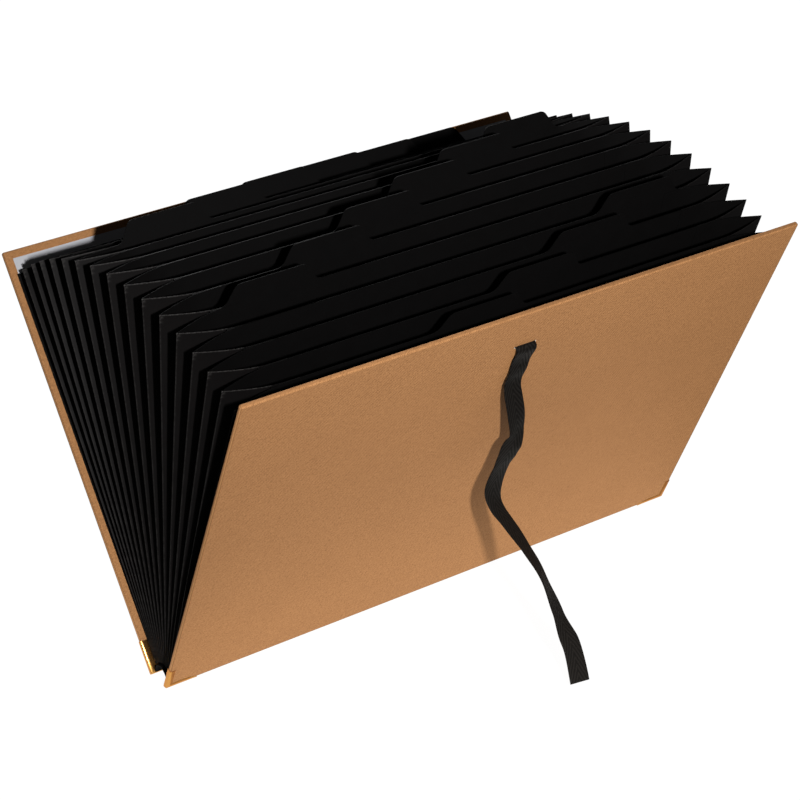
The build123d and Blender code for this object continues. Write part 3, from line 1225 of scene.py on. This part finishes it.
class FOLDER_OT_sheets(bpy.types.Operator):
    """Finish the card dividers and the front panel, and make the back panel with its higher tab"""

    bl_idname = "folder.sheets"
    bl_label = "Card sheets"

    def execute(self, context):
        settings = context.scene.folder_card
        material = finish_of("black_card", sheet_finish, settings)
        for k in range(POCKETS):
            dress(sheet_node(k), material)
        panel = self.back_panel(settings, material)
        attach(panel, sheet_body(POCKETS))
        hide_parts(sheet_node(POCKETS))
        return {"FINISHED"}

    def back_panel(self, settings, material):
        """Back panel whose tab is drawn up to the cover's top edge."""
        sheet = frame["nodes"][sheet_node(POCKETS)].data
        up, _ = lean(TILTS[POCKETS])
        tab = spread(sheet_node(POCKETS), up)[1] - SHEET_HIGH
        points = []
        for vertex in sheet.vertices:
            share = max(0.0, (vertex.co - AXIS).dot(up) - SHEET_HIGH) / tab
            points.append(vertex.co + up * share * settings.last_tab_rise)
        faces = [tuple(face.vertices) for face in sheet.polygons]
        return add_piece("back_panel", points, faces, material)


class FOLDER_OT_pocket_walls(bpy.types.Operator):
    """Fold the side walls of every pocket between its two sheets"""

    bl_idname = "folder.pocket_walls"
    bl_label = "Pocket walls"

    BEND_START = 8.0 * MM
    COLUMNS = 14
    ROWS = 4
    FOLD_GAP = 0.004 * MM

    def execute(self, context):
        settings = context.scene.folder_card
        # Front walls take the card with painted highlights along the fold and top edge; back walls, whose edges
        # sit in shade, take the plain card
        highlighted = finish_of("black_wall_card", wall_finish, settings)
        plain = finish_of("black_card", sheet_finish, settings)
        for k in range(1, POCKETS + 1):
            for side, hand in ((-1, "left"), (1, "right")):
                walls = [(k - 1, k, "front", highlighted), (k, k - 1, "back", plain)]
                for own, other, wall, material in walls:
                    name = f"pocket_{k:02d}_{hand}_{wall}_wall"
                    piece = self.wall(name, own, other, side, settings, material)
                    sheet_body(own)
                    sheet_body(other)
                    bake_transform(piece)
                    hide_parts(f"gusset_{k:02d}")
        return {"FINISHED"}

    def wall(self, name, own, other, side, settings, material):
        """Wall glued to its own sheet, which turns halfway to the other sheet at the fold."""
        start = SHEET_HALF_WIDTH - self.BEND_START
        thick = settings.wall_thickness
        towards = 1 if other > own else -1
        face = spread(sheet_node(own), lean(TILTS[own])[1])[(towards + 1) // 2]
        glued = face + towards * (thick / 2 + self.FOLD_GAP)
        other_face = spread(sheet_node(other), lean(TILTS[other])[1])[(1 - towards) // 2]
        folded = (face + other_face) / 2 - towards * (thick / 2 + self.FOLD_GAP)
        columns = [start - settings.glue_flap]
        columns += [start + (FOLD_X - start) * i / self.COLUMNS for i in range(self.COLUMNS + 1)]
        rows = [SHEET_LOW + (SHEET_HIGH - SHEET_LOW) * i / self.ROWS for i in range(self.ROWS + 1)]
        points, uvs = [], []
        for layer in (-0.5, 0.5):
            for x in columns:
                part = max(0.0, (x - start) / (2 * (FOLD_X - start)))
                weight = ease(part)
                up, back = lean(TILTS[own] + weight * (TILTS[other] - TILTS[own]))
                offset = glued + (folded - glued) * min(1.0, 2 * weight) + layer * thick
                for reach in rows:
                    points.append(AXIS + Vector((side * x, 0, 0)) + up * reach + back * offset)
                    uvs.append((x, reach))
        count = len(rows)
        sheet = ring_faces(len(columns), count, closed=False)
        shift = len(points) // 2
        faces = sheet + [tuple(i + shift for i in face)[::-1] for face in sheet]
        faces += self.rim(len(columns), count, shift)
        return add_piece(name, points, faces, material, uvs, sharp=50)

    def rim(self, columns, rows, shift):
        """Faces round the wall's edge, between its two sides."""
        bottom = [column * rows for column in range(columns)]
        fold = [(columns - 1) * rows + row for row in range(1, rows)]
        top = [column * rows + rows - 1 for column in range(columns - 2, -1, -1)]
        glued = list(range(rows - 2, 0, -1))
        loop = bottom + fold + top + glued
        return [(a, b, b + shift, a + shift) for a, b in zip(loop, loop[1:] + loop[:1])]


class FOLDER_OT_spine(bpy.types.Operator):
    """Arch the black cloth that closes the bottom between the covers"""

    bl_idname = "folder.spine"
    bl_label = "Spine cloth"

    END_INSET = 2.0 * MM
    THICKNESS = 0.6 * MM
    FOOT_RISE = 0.6 * MM
    FOOT_GAP = 0.15 * MM
    FLANGE = 3.3 * MM
    FLANGE_THICKNESS = 0.36 * MM
    BRASS_GAP = 0.5 * MM
    STEPS = 24

    def execute(self, context):
        material = finish_of("black_spine_cloth", spine_finish, context.scene.folder_card)
        brass = context.scene.folder_brass
        half_gap = FRONT.origin.y
        radius = abs(half_gap) - self.FOOT_GAP
        length = FRONT.half_width - self.END_INSET
        points, faces = [], []
        arch = []
        for share in (radius, radius - self.THICKNESS):
            turn = [pi * i / self.STEPS for i in range(self.STEPS + 1)]
            ring = [(share * cos(angle), self.FOOT_RISE + share * sin(angle)) for angle in turn]
            arch.append(ring)
        outline = arch[0] + arch[1][::-1]
        self.add_strip(points, faces, outline, length)
        for cover in COVERS:
            outline = []
            for up, out in ((0, 0), (self.FLANGE, 0), (self.FLANGE, -1), (0, -1)):
                place = cover.place(0, self.FOOT_RISE + up, out * self.FLANGE_THICKNESS)
                outline.append((place.y, place.z - AXIS.z))
            self.add_strip(points, faces, outline, FRONT.half_width - brass.arm - self.BRASS_GAP)
        spine = add_piece("spine", points, faces, material)
        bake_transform(spine)
        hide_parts("spine_cloth")
        return {"FINISHED"}

    def add_strip(self, points, faces, outline, length):
        """Closed strip along the folder with an outline given as (back, rise) pairs."""
        first = len(points)
        count = len(outline)
        for x in (-length, length):
            points += [(x, back, AXIS.z + rise) for back, rise in outline]
        for i in range(count):
            j = (i + 1) % count
            faces.append((first + i, first + j, first + count + j, first + count + i))
        half = count // 2
        for end in (first, first + count):
            for i in range(half - 1):
                faces.append((end + i, end + i + 1, end + count - 2 - i, end + count - 1 - i))


class FOLDER_PT_pieces(bpy.types.Panel):
    """Pieces of the folder and their settings"""

    bl_idname = "FOLDER_PT_pieces"
    bl_label = "Accordion file folder"
    bl_space_type = "VIEW_3D"
    bl_region_type = "UI"
    bl_category = "Folder"

    def draw(self, context):
        for name in SETTINGS:
            box = self.layout.box()
            for prop in getattr(context.scene, name).bl_rna.properties:
                if prop.identifier not in ("rna_type", "name"):
                    box.prop(getattr(context.scene, name), prop.identifier)
        for operator in OPERATORS:
            self.layout.operator(operator.bl_idname)


SETTINGS = {
    "folder_cloth": CoverClothSettings,
    "folder_card": CardSettings,
    "folder_brass": BrassSettings,
    "folder_ribbon": RibbonSettings,
    "folder_stage": StageSettings,
}
OPERATORS = [
    FOLDER_OT_stage,
    FOLDER_OT_tie_ribbon,
    FOLDER_OT_cover_cloth,
    FOLDER_OT_brass_corners,
    FOLDER_OT_linings,
    FOLDER_OT_sheets,
    FOLDER_OT_pocket_walls,
    FOLDER_OT_spine,
]


def register():
    """Register the settings, the operators and the panel."""
    for name, group in SETTINGS.items():
        bpy.utils.register_class(group)
        setattr(bpy.types.Scene, name, PointerProperty(type=group))
    for operator in OPERATORS:
        bpy.utils.register_class(operator)
    bpy.utils.register_class(FOLDER_PT_pieces)


def unregister():
    """Take back what register added."""
    bpy.utils.unregister_class(FOLDER_PT_pieces)
    for operator in reversed(OPERATORS):
        bpy.utils.unregister_class(operator)
    for name, group in SETTINGS.items():
        delattr(bpy.types.Scene, name)
        bpy.utils.unregister_class(group)


def main():
    """Make every piece in order."""
    register()
    bpy.ops.folder.stage()
    bpy.ops.folder.tie_ribbon()
    bpy.ops.folder.cover_cloth()
    bpy.ops.folder.brass_corners()
    bpy.ops.folder.linings()
    bpy.ops.folder.sheets()
    bpy.ops.folder.pocket_walls()
    bpy.ops.folder.spine()


if __name__ == "__main__":
    main()
